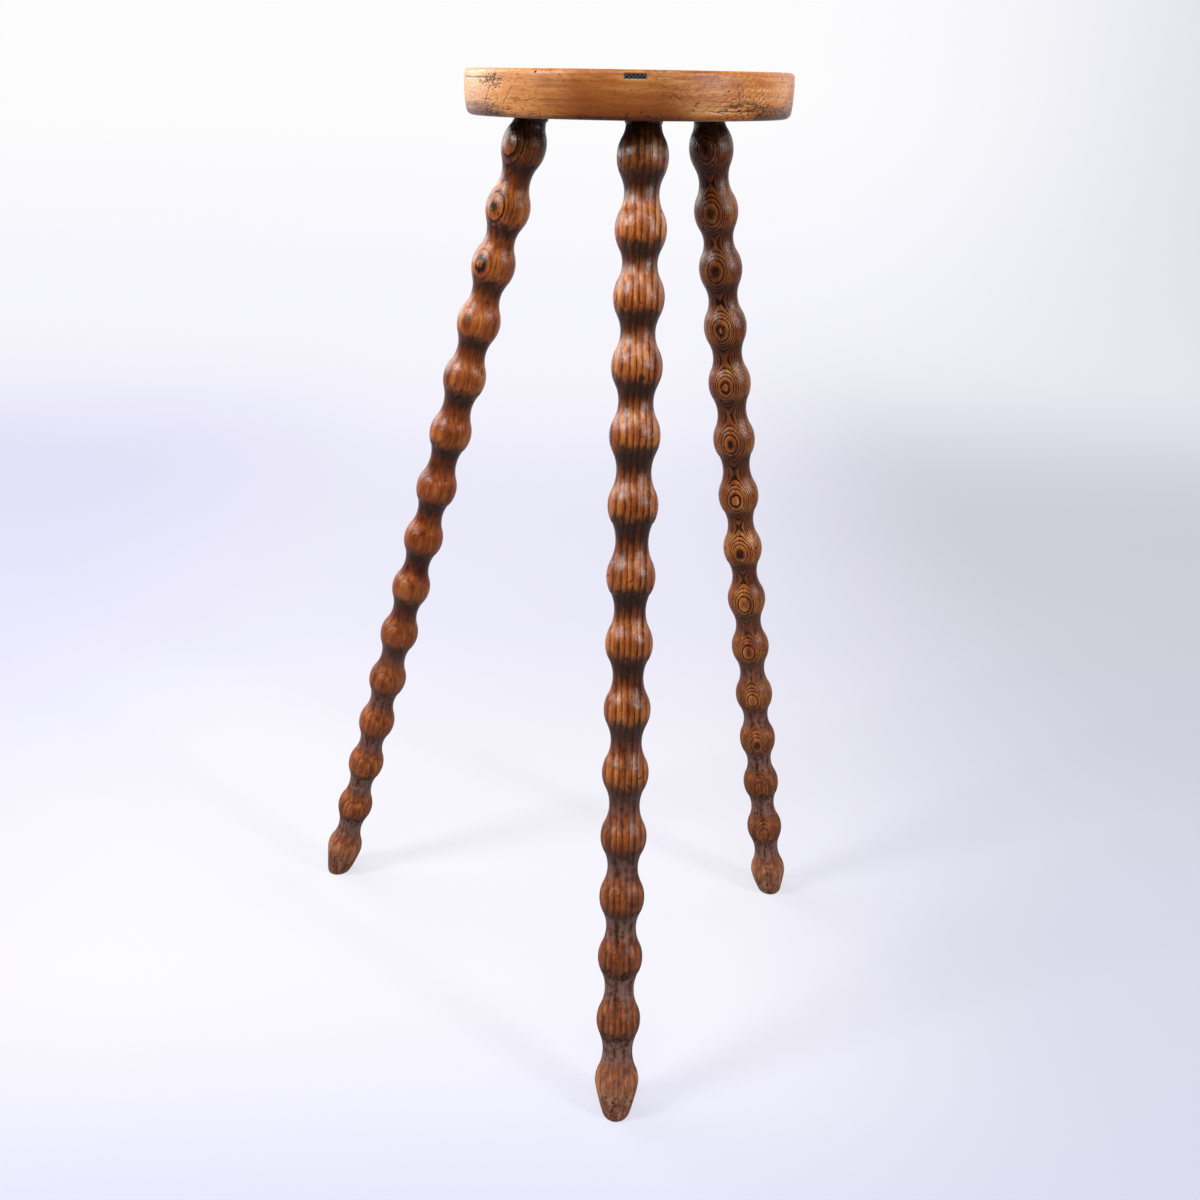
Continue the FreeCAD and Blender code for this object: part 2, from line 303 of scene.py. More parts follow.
def leg_marks(wear, name, span):
    """The marks on one leg, rolled out flat."""
    marks = []
    for _ in range(dent_count):
        marks.append((
            wear.uniform(0, rolled_girth), wear.uniform(0.02, 0.99) * span, wear.uniform(0, 4) * MM,
            wear.uniform(1.2, 3) * MM, wear.uniform(-1.6, 1.6), wear.uniform(0.05, 0.25) * MM,
        ))
    for bead, share in enumerate(bead_place_shares):
        bottom = share * rhythm_shares[name] * span + 0.85 * half_bead
        for _ in range(pits_under_bead.get(bead, pits_under_others)):
            marks.append((
                wear.uniform(0, rolled_girth), bottom + wear.normal(0, 3.4) * MM, wear.uniform(0, 2) * MM,
                wear.uniform(1.2, 3.2) * MM, wear.normal(1.57, 0.6), wear.uniform(0.2, 0.9) * MM,
            ))
    for _ in range(foot_scratch_count):
        marks.append((
            wear.uniform(0, rolled_girth), span - abs(wear.normal(0, 11)) * MM, wear.uniform(0, 5) * MM,
            wear.uniform(1, 2.6) * MM, wear.normal(1.57, 0.4), wear.uniform(0.1, 0.4) * MM,
        ))
    return marks


# %% [markdown]
# The legs were cut from wood with clear growth rings. Where the rings stand edge on they show as
# lines down a leg, and where they face out every bead cuts through them as nested ovals, like the
# contours of a hill. Each point remembers how deep it lies in the rings, and the shader draws them.

# %% Growth rings through a leg
heart_distance = 95 * MM
ring_wander = 0.3 * MM
ring_wander_size = 16 * MM
ring_facing = {
    # The way the growth rings face, as degrees from the viewer's side, at the top and at the foot,
    # and how far they lean down the leg.
    "front": (90, 88, 0.012),
    "left": (-40, 4, -0.05),
    "right": (-20, -4, -0.03),
}


def depth_in_rings(name, seed, place, span):
    """How deep each point of a leg lies in the tree's rings, in metres."""
    facing_top, facing_foot, lean = ring_facing[name]
    x, y, down = place[..., 0], place[..., 1], place[..., 2]
    facing = np.radians(facing_top + (facing_foot - facing_top) * down / span)
    toward_bark = x * np.sin(facing) + y * np.cos(facing)
    sideways = x * np.cos(facing) - y * np.sin(facing)
    rings = heart_distance - np.sqrt((heart_distance - toward_bark) ** 2 + sideways ** 2) + lean * down
    return rings + ring_wander * soft_noise(place * (1, 1, 0.3), ring_wander_size, seed)


# %% [markdown]
# A leg leans, but its foot is cut level with the floor and its head level with the seat. The points
# near each end slide along the leg until they lie in that level plane.

# %% Cut both ends level
settling_length = 18 * MM


def cut_level(points, from_floor, axis):
    """The points of a leg with its foot flat on the floor and its head under the seat."""
    settle = np.clip((settling_length - from_floor) / settling_length, 0, 1) ** 2
    slide = -(points[..., 2] + from_floor * axis.z) / axis.z
    points = points + (settle * slide)[..., None] * np.array(axis)
    too_high = np.maximum(points[..., 2] - underside, 0)
    return points + (too_high / -axis.z)[..., None] * np.array(axis)


def round_points(radius, turn, down):
    """Points about a leg's own axis, from their radius, angle and distance down the leg."""
    return np.stack([radius * np.cos(turn), radius * np.sin(turn), down], axis=-1)


# %% [markdown]
# Now each leg is turned, marked, cut and stood in its place. Hand turning is never quite round, and
# handling has softened it unevenly. The foot is a little worn, and its lower arris is knocked round.

# %% Turn the three legs
ring_step = 1.0 * MM
points_round = 112
head_to_spare = 6 * MM
out_of_round_share = 0.007
out_of_round_size = 22 * MM
knocked_height = 3 * MM
knocked_depth = 1.2 * MM
worn_foot_height = 40 * MM
worn_foot_depth = 0.7 * MM
unmarked_head = 4 * MM
legs = {}
for order, (name, (top, foot)) in enumerate(leg_lines.items()):
    axis = (foot - top).normalized()
    span = (foot - top).length
    across = (Vector((1, 0, 0)) - axis * axis.x).normalized()
    toward = axis.cross(across)
    down = np.append(np.arange(-head_to_spare, span, ring_step), span)
    radius, rhythm = leg_radius(name, down, span)
    turn = np.arange(points_round) / points_round * 2 * math.pi
    down_grid, turn_grid = np.meshgrid(down, turn, indexing="ij")
    from_floor = span - down_grid
    radius_grid = np.repeat(radius[:, None], points_round, axis=1)
    place = round_points(radius_grid, turn_grid, down_grid)
    unevenness = soft_noise(place * (1, 1, 0.35), out_of_round_size, 3 + order)
    radius_grid = radius_grid * (1 + out_of_round_share * unevenness)

    depth = np.zeros_like(radius_grid)
    scar = np.zeros_like(radius_grid)
    for mark in leg_marks(np.random.default_rng(41 + order), name, span):
        press(depth, scar, turn_grid * rolled_radius, down_grid, mark)
    depth *= np.clip((down_grid - collar_height) / unmarked_head, 0, 1)
    knocked = np.clip(1 - from_floor / knocked_height, 0, 1) ** 2 * knocked_depth
    rubbed_away = np.clip(1 - from_floor / worn_foot_height, 0, 1) * worn_foot_depth
    radius_grid = radius_grid - depth - knocked - rubbed_away

    place = round_points(radius_grid, turn_grid, down_grid)
    points = cut_level(place @ np.array([across, toward, axis]) + np.array(top), from_floor, axis)
    leg = turned_mesh(f"leg_{name}_turned", points, {
        "leg_place": place,
        "ring_depth": depth_in_rings(name, 9 + order, place, span),
        "scar": scar,
        "below_bead": np.repeat(np.sin(rhythm)[:, None], points_round, axis=1),
        "on_bead": np.repeat(np.cos(rhythm)[:, None], points_round, axis=1),
        "to_foot": from_floor,
    })
    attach(leg, "root")
    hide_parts(f"leg_{name}")
    legs[name] = leg

# %% [markdown]
# ## The seat board
# The seat is one thick board, sawn round, its edge rasped to a slight belly and its arrises
# rounded over. Its profile is three arcs: the lower arris, the belly and the upper arris, each
# touching the next. Hands have worn the upper arris rounder than it was cut.

# %% The seat's outline
belly_height = 21 * MM
belly_radius = 110 * MM
lower_arris = 5 * MM
upper_arris = 3.5 * MM


def arris_arc(radius, height):
    """Where the centre of an arris stands, and the angle at which the arris leaves the belly."""
    up = height - belly_height
    out = math.sqrt((belly_radius - radius) ** 2 - up ** 2)
    return seat_radius - belly_radius + out, math.degrees(math.atan2(up, out))


def sweep_arc(centre, height, radius, start, end, count):
    """Points on an arc of the profile, between two angles in degrees."""
    angles = np.radians(np.linspace(start, end, count))
    return [(centre + radius * math.cos(a), height + radius * math.sin(a)) for a in angles]


lower_centre, lower_leave = arris_arc(lower_arris, lower_arris)
upper_centre, upper_leave = arris_arc(upper_arris, thickness - upper_arris)
edge_outline = (
    sweep_arc(lower_centre, lower_arris, lower_arris, -90, lower_leave, 12)
    + sweep_arc(seat_radius - belly_radius, belly_height, belly_radius, lower_leave, upper_leave, 48)[1:-1]
    + sweep_arc(upper_centre, thickness - upper_arris, upper_arris, upper_leave, 90, 10)
)
under_reaches = np.linspace(12 * MM, edge_outline[0][0], 26)[:-1]
top_reaches = np.linspace(edge_outline[-1][0], 6 * MM, 80)[1:]
outline = np.array(
    [(reach, 0) for reach in under_reaches] + edge_outline + [(reach, thickness) for reach in top_reaches]
)
print("The seat's outline has", len(outline), "points,", len(edge_outline), "of them on its edge")

# %% [markdown]
# The edge gets points every half millimetre all the way round, so that its marks are real
# hollows. A place on it is given as it is measured with a tape: millimetres round from the front,
# to the right, and millimetres below the top.

# %% Roll the edge out flat
points_round = 1440
edge_rows = slice(len(under_reaches), len(outline) - len(top_reaches))
turn = np.arange(points_round) / points_round * 2 * math.pi - math.pi
reach_grid = np.repeat(outline[:, :1], points_round, axis=1)
height_grid = np.repeat(outline[:, 1:], points_round, axis=1)
turn_grid = np.repeat(turn[None, :], len(outline), axis=0)
round_from_front = turn_grid * seat_radius
below_top = thickness - height_grid
depth = np.zeros_like(reach_grid)
scar = np.zeros_like(reach_grid)
print("Points on the edge are", round(2 * math.pi * seat_radius / points_round / MM, 2), "mm apart")

# %% [markdown]
# The front of the edge carries most of the story: a crack, scratches, worm holes and knocks, each
# in its own place.

# %% Cracks and holes in their places
lines = [
    # from (round, below), to (round, below), width, depth
    (-163, 6.0, -141, 6.3, 1.1, 0.9), (-141, 6.3, -115, 6.2, 0.9, 0.8), (-115, 6.2, -98, 6.9, 0.8, 0.35),
    (-112, 12.0, -122, 24.5, 0.7, 0.35), (-87.5, 11.6, -98, 23.5, 0.7, 0.4),
    (-84, 20.8, -75, 20.6, 0.8, 0.2), (-75, 20.6, -66.5, 18.6, 0.8, 0.2),
    (0.1, 27.4, -2.4, 31, 1.1, 0.7), (21, 27.4, 24.2, 30, 0.8, 0.5),
    (79.8, 10.5, 83.4, 21.2, 0.8, 0.3), (64, 25.8, 100, 25.6, 1.0, 0.4), (30, 15, 36, 19, 0.9, 0.3),
    (46, 22.6, 49.5, 19.4, 1.0, 0.3), (38, 20.5, 40, 18.8, 0.8, 0.2), (60, 22.8, 92, 22.4, 0.9, 0.25),
]
spots = [
    # round, below, width, depth: worm holes, knocks and specks
    (-91.6, 2.6, 1.5, 0.5), (-67.1, 2.5, 2.0, 1.6), (14, 2.9, 1.0, 0.6), (0.6, 6, 1.3, 0.5),
    (-26, 7.7, 1.3, 0.2), (28.4, 17.2, 2.2, 0.3), (35.3, 12.9, 1.4, 0.3), (-2.3, 11.6, 1.3, 0.3),
    (20.5, 11.6, 1.3, 0.2), (8.9, 26.9, 2.2, 0.5), (11.4, 29.1, 1.5, 0.5), (-44.8, 7.8, 3.4, 0.08),
    (47.5, 8.6, 1.3, 0.3), (108, 17.6, 2.6, 0.3), (74, 30, 2.4, 0.9), (88, 29.6, 2.0, 0.7),
]
marks = []
for start_round, start_below, end_round, end_below, width, fall in lines:
    run = end_round - start_round
    drop = end_below - start_below
    marks.append(((start_round + end_round) / 2 * MM, (start_below + end_below) / 2 * MM,
                  math.hypot(run, drop) * MM, width * MM, math.atan2(drop, run), fall * MM))
for mark_round, below, width, fall in spots:
    marks.append((mark_round * MM, below * MM, 0, width * MM, 0, fall * MM))
print(len(lines), "cracks and scores,", len(spots), "holes and knocks")

# %% [markdown]
# Scuffs come in patches: a bruise at the left, rubbed corners low down at the right, and a light
# scatter all round. A patch is given by its middle and its spread, and chance does the rest.

# %% Patches of scuffs
wear = np.random.default_rng(7)
scuffs = [
    # round, below, spread round, spread below, how many, lean, spread of lean, longest, deepest
    (-107, 8, 7, 2.2, 110, 0, 1.5, 1.8, 1.0), (-104, 28.5, 16, 2.0, 90, 0, 0.25, 4, 0.3),
    (34, 12, 9, 4.5, 70, 0.8, 0.2, 3, 0.1), (60, 18, 16, 5, 60, 0, 0.5, 3, 0.1),
    (84, 23, 10, 2.2, 45, 0, 0.12, 9, 0.35), (104, 25, 16, 3.6, 170, 0, 0.7, 2, 0.55),
    (98, 14, 14, 4, 40, 1.2, 0.5, 2, 0.25), (84, 16, 3, 4, 14, 1.3, 0.4, 3, 0.5),
    (-300, 24, 90, 5, 170, 0, 0.5, 3, 0.4), (300, 24, 90, 5, 170, 0, 0.5, 3, 0.4),
    (0, 16, 260, 8, 260, 0, 0.9, 2, 0.08), (0, 30.5, 260, 1.0, 200, 0, 0.4, 3, 0.3),
    (0, 1.5, 260, 1.0, 120, 0, 1.5, 2, 0.2),
]
for middle, below, wide, high, count, lean, spread, longest, deepest in scuffs:
    for _ in range(count):
        marks.append(((middle + wear.normal(0, wide)) * MM, (below + wear.normal(0, high)) * MM,
                      abs(wear.normal(0, 0.6)) * longest * MM, wear.uniform(0.6, 1.3) * MM,
                      wear.normal(lean, spread), wear.uniform(0.3, 1) * deepest * MM))
edge = (edge_rows, slice(None))
for mark in marks:
    press(depth[edge], scar[edge], round_from_front[edge], below_top[edge], mark)
print(len(marks), "marks on the edge, the deepest", round(depth.max() / MM, 2), "mm")

# %% [markdown]
# The fastener sits in a slot in the edge. The wood round it has shrunk back and gone black.

# %% The slot round the fastener
slot_depth = 0.7 * MM
slot_blur = 0.7 * MM
fastener_low, fastener_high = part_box("edge_fastener")
fastener_middle = (fastener_low + fastener_high) / 2
slot_half_width = (fastener_high.x - fastener_low.x) / 2 + 0.2 * MM
slot_half_height = (fastener_high.z - fastener_low.z) / 2
sideways = np.abs(reach_grid * np.sin(turn_grid) - (fastener_middle.x - seat_middle.x))
downward = np.abs(below_top - (seat_top - fastener_middle.z))
outside = np.maximum(sideways - slot_half_width, downward - slot_half_height)
slot = np.clip(0.5 - outside / slot_blur, 0, 1) * (np.abs(turn_grid) < math.pi / 2)
depth[edge] = np.maximum(depth[edge], slot[edge] * slot_depth)
print("The slot is", round(slot_half_width * 2 / MM, 1), "mm wide")

# %% [markdown]
# The top has been sat on, leant on and scrubbed for a century. The photograph hides it, so it gets
# the light scores that such seats have. The underside only got a few knocks.

# %% Marks on the top and the underside
def score_flat(rows, count, longest, deepest):
    """Light scores and knocks on one of the seat's two flat faces."""
    x = reach_grid[rows] * np.sin(turn_grid[rows])
    y = -reach_grid[rows] * np.cos(turn_grid[rows])
    for _ in range(count):
        far = seat_radius * math.sqrt(wear.uniform(0, 0.95))
        way = wear.uniform(-math.pi, math.pi)
        mark = (far * math.cos(way), far * math.sin(way), abs(wear.normal(0, longest)),
                wear.uniform(1.2, 2.2) * MM, wear.normal(0, 0.9), wear.uniform(0.3, 1) * deepest)
        press(depth[rows], scar[rows], x, y, mark)


under_rows = slice(0, edge_rows.start)
top_rows = slice(edge_rows.stop, None)
score_flat(under_rows, 60, 5 * MM, 0.25 * MM)
score_flat(top_rows, 150, 9 * MM, 0.22 * MM)
print("The deepest score on the top is", round(depth[top_rows].max() / MM, 2), "mm")

# %% [markdown]
# The marks now become the board. Its edge waves by a quarter of a millimetre, as a rasped edge
# does, and stands back by as much again, so that no wave passes the CAD solid. Along the edge the
# fine grain follows the edge round, as it does in the photograph.

# %% Build the seat
edge_wave = 0.25 * MM
rolled_in = np.stack([reach_grid * np.sin(turn_grid), -reach_grid * np.cos(turn_grid), height_grid], axis=-1)
in_edge = np.zeros_like(reach_grid)
in_edge[edge] = 1
outward = -edge_wave - depth + edge_wave * soft_noise(rolled_in, 40 * MM, 5)
flat_drop = depth * (1 - in_edge) * np.where(height_grid > thickness / 2, -1, 1)
way = np.stack([np.sin(turn_grid), -np.cos(turn_grid)], axis=-1)
points = np.concatenate([
    (reach_grid + outward * in_edge)[..., None] * way + np.array([seat_middle.x, seat_middle.y]),
    (underside + height_grid + flat_drop)[..., None],
], axis=-1)
round_the_edge = np.stack([round_from_front, reach_grid, height_grid], axis=-1)
grain = rolled_in + in_edge[..., None] * (round_the_edge - rolled_in)
seat = turned_mesh("seat_board", points, {
    "board_place": rolled_in, "grain_place": grain, "scar": scar, "slot": slot,
})
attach(seat, "root")
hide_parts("seat")

# %% [markdown]
# ## Wood of the legs
# The legs are pitch pine, a softwood whose rings run from pale soft wood to a hard dark line.
# Stain and a century of wax turned the soft wood orange brown. Wax that was never buffed out
# of the hollows has gone almost black. The material is built in layers, as the finish was, and
# all its layers are mixed from the same few patterns.

# %% Patterns of the legs' wood
def leg_patterns(tree):
    """The values kept at the points of a leg, and the noises that its finish is mixed from."""
    place = add(tree, "Attribute", out="Vector", attribute_name="leg_place")
    pattern = {"place": place, "down": add(tree, "SeparateXYZ", {0: place}, out=2)}
    for label in ("ring_depth", "scar", "below_bead", "on_bead", "to_foot"):
        pattern[label] = add(tree, "Attribute", out="Fac", attribute_name=label)

    # Fibres are about 0.1 mm wide. They are drawn 0.7 mm wide and 10 mm long, so that they show.
    drawn_out = add(tree, "Mapping", {"Vector": place, "Scale": (1, 1, 0.07)})
    upright = add(tree, "Mapping", {"Vector": place, "Scale": (1, 1, 0.3)})
    for label, where, size_mm, detail, roughness in (
        ("fibres", drawn_out, 0.7, 3, 0.6), ("streaks", drawn_out, 3.5, 2, 0.5), ("clouds", place, 26, 2, 0.5),
        ("blots", place, 6, 4, 0.65), ("flecks", upright, 1.3, 2, 0.5),
    ):
        pattern[label] = add(tree, "TexNoise", {
            "Vector": where, "Scale": 1 / (size_mm * MM), "Detail": detail, "Roughness": roughness,
        })
    return pattern


# %% [markdown]
# Each ring darkens slowly across its width and ends in a hard line. Good and bad seasons made
# rings wider or narrower and lines stronger or weaker, and wear has broken the lines. The shader
# reads how deep each point lies in the rings, so the same rule draws lines on the front leg and
# nested ovals on the other two.

# %% Hard lines of the rings
def hard_lines(tree, pattern, ring_mm, line_share, offset, line_dark, inner_dark):
    """The bare profile of the rings at each point, and how dark their hard lines are."""
    rings, flecks = pattern["ring_depth"], pattern["flecks"]
    seasons = add(tree, "TexNoise", {"W": rings, "Scale": 1 / (8 * MM), "Detail": 1}, noise_dimensions="1D")
    shifted = add(tree, "Math", {0: seasons, 1: 0.8, 2: offset}, operation="MULTIPLY_ADD")
    count = add(tree, "Math", {0: rings, 1: 1 / (ring_mm * MM), 2: shifted}, operation="MULTIPLY_ADD")
    drift = add(tree, "Math", {0: pattern["streaks"], 1: 0.3, 2: count}, operation="MULTIPLY_ADD")
    ragged = add(tree, "Math", {0: flecks, 1: 0.18, 2: drift}, operation="MULTIPLY_ADD")
    within = add(tree, "Math", {0: ragged}, operation="FRACT")
    latewood = add(tree, "ValToRGB", {"Fac": within}, stops=(
        (0, 0.8), (1, 1.0), (0.07, 0.0), (1 - 2.6 * line_share, 0.06),
        (1 - 1.5 * line_share, 0.35), (1 - 0.6 * line_share, 1.0),
    ))
    whole_years = add(tree, "Math", {0: ragged}, operation="FLOOR")
    year = add(tree, "TexWhiteNoise", {"W": whole_years}, out="Value", noise_dimensions="1D")
    outer = add(tree, "MapRange", {0: rings, 1: 7 * MM, 2: 12 * MM, 3: inner_dark, 4: 1})
    strength = add(tree, "MapRange", {0: year, 1: 0, 2: 1, 3: 0.75 * line_dark, 4: line_dark})
    broken = add(tree, "MapRange", {0: flecks, 1: 0.34, 2: 0.48, 3: 0.55, 4: 1})
    line = latewood
    for share in (outer, strength, broken):
        line = add(tree, "Math", {0: line, 1: share}, operation="MULTIPLY")
    return latewood, line


# %% [markdown]
# The stain took unevenly, so the ground runs from deep brown to bright orange. Toward the foot
# the polish is tired: there the colour is duller and rubbed in patches.

# %% Stained ground of the legs
def stained_ground(tree, pattern, warmth, stain_stops):
    """The colour of the soft wood, its bright and dark tone, its rubbed patches and its tiredness."""
    fibres, streaks = pattern["fibres"], pattern["streaks"]
    streaky = add(tree, "Math", {0: streaks, 1: 0.35}, operation="MULTIPLY")
    mottled = add(tree, "Math", {0: pattern["clouds"], 1: 0.35, 2: streaky}, operation="MULTIPLY_ADD")
    tone = add(tree, "Math", {0: fibres, 1: 0.3, 2: mottled}, operation="MULTIPLY_ADD")
    ground = add(tree, "ValToRGB", {"Fac": tone},
                 stops=((0.38, "#6e3312"), (0.6, "#d08c4c"), (0.45, "#9c531f"), (0.52, warmth)))
    share_down = add(tree, "Math", {0: pattern["down"], 1: 1 / 0.8}, operation="MULTIPLY")
    stained = add(tree, "ValToRGB", {"Fac": share_down}, stops=stain_stops)
    deep = add(tree, "Mix", {0: stained, 6: ground, 7: linear("#b4a2a8")}, out=2,
               data_type="RGBA", blend_type="MULTIPLY")
    half_streaks = add(tree, "Math", {0: streaks, 1: 0.5}, operation="MULTIPLY")
    rubbing = add(tree, "Math", {0: pattern["blots"], 1: 0.5, 2: half_streaks}, operation="MULTIPLY_ADD")
    rubbed = add(tree, "ValToRGB", {"Fac": rubbing},
                 stops=((0.4, "#4c2712"), (0.6, "#985428"), (0.5, "#70391a")))
    tired = add(tree, "MapRange", {0: pattern["to_foot"], 1: 0.4, 2: 0.1, 3: 0, 4: 0.8})
    dark_fibres = add(tree, "MapRange", {0: fibres, 1: 0.54, 2: 0.7, 3: 0, 4: 0.55})
    flecked = coats(tree, deep, ((tired, rubbed), (dark_fibres, "#4a220f")))
    return flecked, tone, rubbing, tired


# %% [markdown]
# The necks are painted a darker brown, as painted shade in the hollows between the beads. Low down
# their polish has worn off in patches and left them a greyish brown. Old wax lies dark on the lower
# shoulder of each bead and runs into the neck. Both follow the rhythm of the beads, broken up by the blots and
# streaks.

# %% Necks and old wax
def neck_mask(tree, pattern):
    """Where the necks are, with a ragged rim."""
    under_bead = add(tree, "Math", {0: pattern["below_bead"], 1: -0.4, 2: pattern["on_bead"]},
                     operation="MULTIPLY_ADD")
    ragged = add(tree, "Math", {0: pattern["blots"], 1: -0.8, 2: under_bead}, operation="MULTIPLY_ADD")
    return add(tree, "MapRange", {0: ragged, 1: -0.35, 2: -1.25, 3: 0, 4: 1}, **soft_fade)


def old_wax_mask(tree, pattern, wax_start):
    """Where old dark wax was never buffed away; it is cleaner toward the foot."""
    low = add(tree, "Math", {0: pattern["below_bead"], 1: 0.8}, operation="MULTIPLY")
    gathered = add(tree, "Math", {0: pattern["on_bead"], 1: -0.35, 2: low}, operation="MULTIPLY_ADD")
    for label, share in (("blots", 1.0), ("streaks", 2.1), ("fibres", 0.6), ("clouds", 0.9)):
        gathered = add(tree, "Math", {0: pattern[label], 1: share, 2: gathered}, operation="MULTIPLY_ADD")
    wax = add(tree, "MapRange", {0: gathered, 1: wax_start, 2: wax_start + 0.85, 3: 0, 4: 0.9}, **soft_fade)
    clean = add(tree, "MapRange", {0: pattern["to_foot"], 1: 0.4, 2: 0.15, 3: 1, 4: 0.6})
    return add(tree, "Math", {0: wax, 1: clean}, operation="MULTIPLY")


# %% [markdown]
# The leg's head under the seat is stained nearly black, and the foot is scuffed back to bare wood.
# The lathe's own fine scratches show as dark threads round the lower part of the leg, where the
# polish is thin. The hard lines of the rings stand proud of the soft wood by a tenth of a
# millimetre, which a fingertip feels and a glancing light shows.

# %% Waxed pitch pine
def waxed_pitch_pine(name, rings, wax_start, warmth, stain_stops):
    """Pitch pine turned, stained and waxed: a warm sheen over strong dark lines.

    rings are the width of one growth ring in millimetres, how much of it is hard dark wood, how far
    the rings are moved as a share of one, how dark the hard lines are, and how much of that is left
    towards the tree's heart. wax_start is how far old wax reaches up each bead (less is further),
    and warmth is the paler of the two ground colours. stain_stops say how deep the stain is at
    shares of the leg's length.
    """
    material, tree = new_material(name)
    pattern = leg_patterns(tree)
    to_foot, blots = pattern["to_foot"], pattern["blots"]
    latewood, line = hard_lines(tree, pattern, *rings)
    ground, tone, rubbing, tired = stained_ground(tree, pattern, warmth, stain_stops)
    faded = add(tree, "MapRange", {0: to_foot, 1: 0.3, 2: 0.1, 3: 1, 4: 0.7})
    faded_line = add(tree, "Math", {0: line, 1: faded}, operation="MULTIPLY")
    ringed = coats(tree, ground, ((faded_line, "#200e06"),))

    in_neck = neck_mask(tree, pattern)
    # Painted shade: the necks are darkened brown, as if shadowed in the hollows between the beads.
    neck_shade_share = add(tree, "Math", {0: in_neck, 1: 0.7}, operation="MULTIPLY")
    neck_shaded = add(tree, "Mix", {0: neck_shade_share, 6: ringed, 7: linear("#8f7062")}, out=2,
                  data_type="RGBA", blend_type="MULTIPLY")
    worn_off = add(tree, "MapRange", {0: to_foot, 1: 0.36, 2: 0.12, 3: 0, 4: 0.7})
    patchy = add(tree, "MapRange", {0: rubbing, 1: 0.4, 2: 0.56, 3: 0, 4: worn_off})
    low_neck = add(tree, "Math", {0: in_neck, 1: patchy}, operation="MULTIPLY")

    # A lathe's scratches are about 0.2 mm apart. They are drawn about a millimetre apart.
    squat = add(tree, "Mapping", {"Vector": pattern["place"], "Scale": (0.12, 0.12, 1)})
    threads = add(tree, "TexNoise", {"Vector": squat, "Scale": 1 / (0.9 * MM), "Detail": 2})
    thread_lines = add(tree, "MapRange", {0: threads, 1: 0.55, 2: 0.66, 3: 0, 4: 0.5})
    threaded = add(tree, "Math", {0: thread_lines, 1: tired}, operation="MULTIPLY")

    head_place = add(tree, "Math", {0: blots, 1: 40 * MM, 2: pattern["down"]}, operation="MULTIPLY_ADD")
    head = add(tree, "MapRange", {0: head_place, 1: 24 * MM, 2: 68 * MM, 3: 0.92, 4: 0}, **soft_fade)
    foot_place = add(tree, "Math", {0: blots, 1: 40 * MM, 2: to_foot}, operation="MULTIPLY_ADD")
    worn = add(tree, "MapRange", {0: foot_place, 1: 34 * MM, 2: 84 * MM, 3: 0.7, 4: 0}, **soft_fade)
    bare = add(tree, "ValToRGB", {"Fac": tone},
               stops=((0.42, "#5c3626"), (0.57, "#c08e6c"), (0.5, "#966046")))
    marked = add(tree, "MapRange", {0: pattern["scar"], 1: 0.05, 2: 0.6, 3: 0, 4: 0.95})
    old_wax = old_wax_mask(tree, pattern, wax_start)
    colour = coats(tree, neck_shaded, (
        (old_wax, "#1e0f07"), (low_neck, "#8a665a"), (threaded, "#2e170c"),
        (head, "#180b05"), (worn, bare), (marked, "#1c0e07"),
    ))

    polished = add(tree, "MapRange", {0: blots, 1: 0.35, 2: 0.65, 3: 0.2, 4: 0.36})
    duller = add(tree, "Math", {0: tired, 1: 0.2, 2: polished}, operation="MULTIPLY_ADD")
    rough = add(tree, "Math", {0: worn, 1: 0.3, 2: duller}, operation="MULTIPLY_ADD")
    fine = add(tree, "Math", {0: pattern["flecks"], 1: pattern["fibres"]}, operation="ADD")
    relief = add(tree, "Math", {0: latewood, 1: 0.8, 2: fine}, operation="MULTIPLY_ADD")
    wax_over(tree, colour, rough, relief, 0.6, 0.25, 0.3)
    return material


# %% [markdown]
# One stick of wood is not like the next. The front leg was cut with its wide rings edge on, the
# right one has narrow rings that face the viewer, and the left one has soft lines and less wax.

# %% Finish the three legs
for name, settings in {
    "front": ((4.9, 0.27, 0.30, 1.0, 1.0), 2.3, "#b8692e",
              ((0.1, 0.15), (0.95, 0.4), (0.34, 0.6), (0.6, 0.45), (0.68, 0.95), (0.85, 0.8))),
    "left": ((2.7, 0.3, 0.75, 1.3, 0.3), 2.5, "#b8652b",
             ((0.12, 0), (0.85, 0), (0.26, 0.7), (0.5, 0.9), (0.68, 0.85))),
    "right": ((1.35, 0.32, 0.4, 1.25, 1.0), 2.9, "#ac662c",
              ((0.05, 0.2), (0.9, 0), (0.15, 0.65), (0.36, 0.6), (0.44, 0.1), (0.74, 0.4))),
}.items():
    legs[name].data.materials.append(waxed_pitch_pine(f"waxed_pitch_pine_{name}", *settings))
    print(name, "leg's rings are", settings[0][0], "mm wide")

# %% [markdown]
# ## Wood of the seat
# The board is a milder wood, with grain that runs from left to right. Along the front of the edge
# the grain shows as long fine lines, and at the two ends as specks, because there the fibres are
# cut across. A three-dimensional pattern gives both without any extra work.

